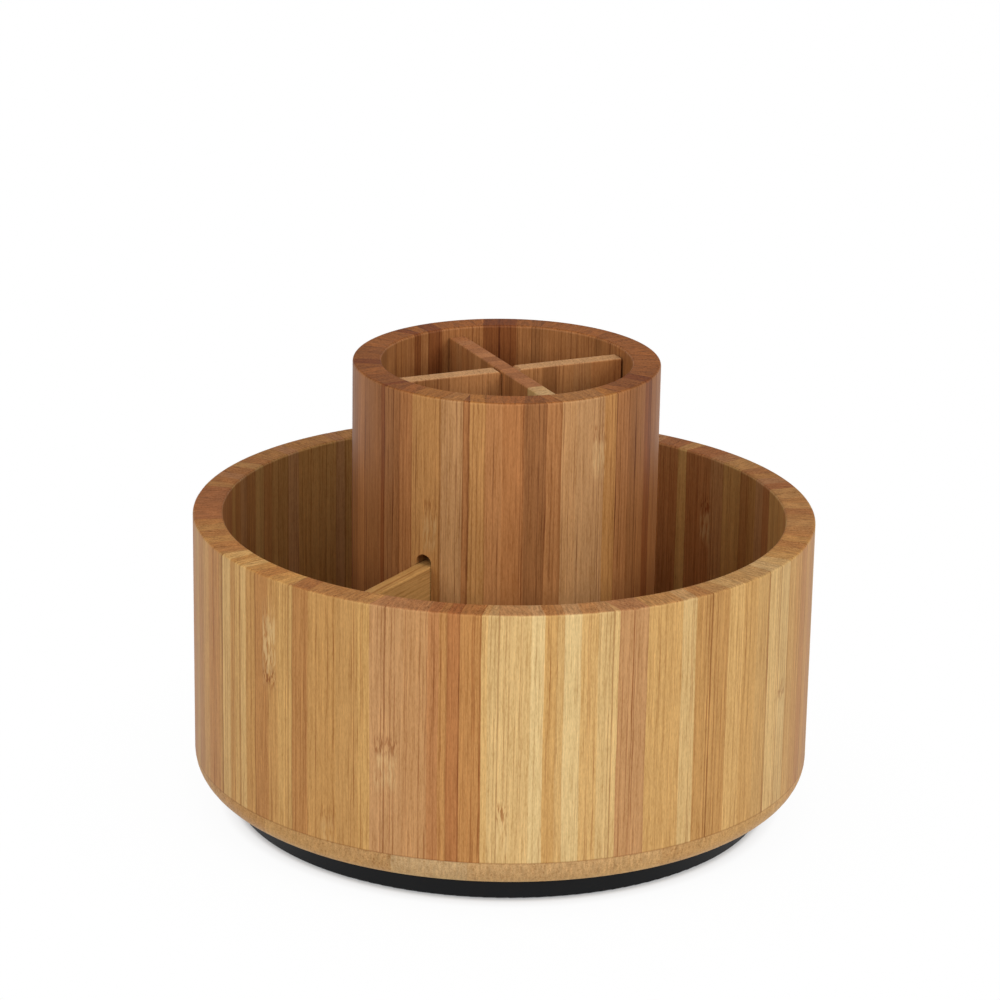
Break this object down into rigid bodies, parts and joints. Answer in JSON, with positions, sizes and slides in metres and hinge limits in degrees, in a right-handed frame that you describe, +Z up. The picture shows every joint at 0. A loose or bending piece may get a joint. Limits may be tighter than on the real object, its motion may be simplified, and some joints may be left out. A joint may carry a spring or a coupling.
{
  "type": "rotating makeup organizer",
  "caption": "Round rotating organizer: a stave-built bamboo drum with a divided ring and a taller divided core, turning on a low black base.",
  "frame": {"origin": "centre of the resting surface, under the middle of the drum", "axes": "+Z up along the turning axis; the two boards that split the ring lie along Y"},
  "size_m": [0.2, 0.2, 0.148],
  "materials": {
    "drum_bamboo": "edge-grain bamboo, satin lacquer",
    "core_bamboo": "edge-grain bamboo, browner, satin lacquer",
    "board_bamboo": "thin bamboo board, satin lacquer",
    "floor_bamboo": "laminated bamboo board with end grain at its edge",
    "base_plastic": "moulded satin black",
    "foot_rubber": "matt",
    "bearing_aluminium": "turned",
    "ball_steel": "polished",
    "cage_nylon": "natural nylon",
    "screw_steel": "zinc plated"
  },
  "bodies": {
    "base": {"turntable_base": "base_plastic", "rubber_foot_1": "foot_rubber", "rubber_foot_2": "foot_rubber", "rubber_foot_3": "foot_rubber", "rubber_foot_4": "foot_rubber", "bearing_outer_ring": "bearing_aluminium", "base_screws": "screw_steel"},
    "drum": {"floor_board": "floor_bamboo", "drum_stave_01": "drum_bamboo", "drum_stave_02": "drum_bamboo", "drum_stave_03": "drum_bamboo", "drum_stave_04": "drum_bamboo", "drum_stave_05": "drum_bamboo", "drum_stave_06": "drum_bamboo", "drum_stave_07": "drum_bamboo", "drum_stave_08": "drum_bamboo", "drum_stave_09": "drum_bamboo", "drum_stave_10": "drum_bamboo", "drum_stave_11": "drum_bamboo", "drum_stave_12": "drum_bamboo", "drum_stave_13": "drum_bamboo", "drum_stave_14": "drum_bamboo", "drum_stave_15": "drum_bamboo", "drum_stave_16": "drum_bamboo", "drum_stave_17": "drum_bamboo", "drum_stave_18": "drum_bamboo", "core_stave_01": "core_bamboo", "core_stave_02": "core_bamboo", "core_stave_03": "core_bamboo", "core_stave_04": "core_bamboo", "core_stave_05": "core_bamboo", "core_stave_06": "core_bamboo", "core_stave_07": "core_bamboo", "core_stave_08": "core_bamboo", "core_stave_09": "core_bamboo", "core_stave_10": "core_bamboo", "core_stave_11": "core_bamboo", "core_stave_12": "core_bamboo", "ring_divider_front": "board_bamboo", "ring_divider_back": "board_bamboo", "bearing_inner_ring": "bearing_aluminium", "floor_screws": "screw_steel"},
    "cage": {"ball_cage": "cage_nylon", "bearing_balls": "ball_steel"},
    "cross_lower": {"cross_board_lower": "board_bamboo"},
    "cross_upper": {"cross_board_upper": "board_bamboo"}
  },
  "joints": [
    {"name": "turntable_spin", "type": "hinge", "parent": "base", "child": "drum", "pos_m": [0, 0, 0.007], "axis": [0, 0, 1], "continuous": true},
    {"name": "ball_cage_spin", "type": "hinge", "parent": "base", "child": "cage", "pos_m": [0, 0, 0.007], "axis": [0, 0, 1], "continuous": true},
    {"name": "cross_lower_lift", "type": "slide", "parent": "drum", "child": "cross_lower", "axis": [0, 0, 1], "range_m": [0, 0.14]},
    {"name": "cross_upper_lift", "type": "slide", "parent": "cross_lower", "child": "cross_upper", "axis": [0, 0, 1], "range_m": [0, 0.14]}
  ],
  "couplings": [
    {"joint": "ball_cage_spin", "follows": "turntable_spin", "ratio": 0.4825}
  ]
}
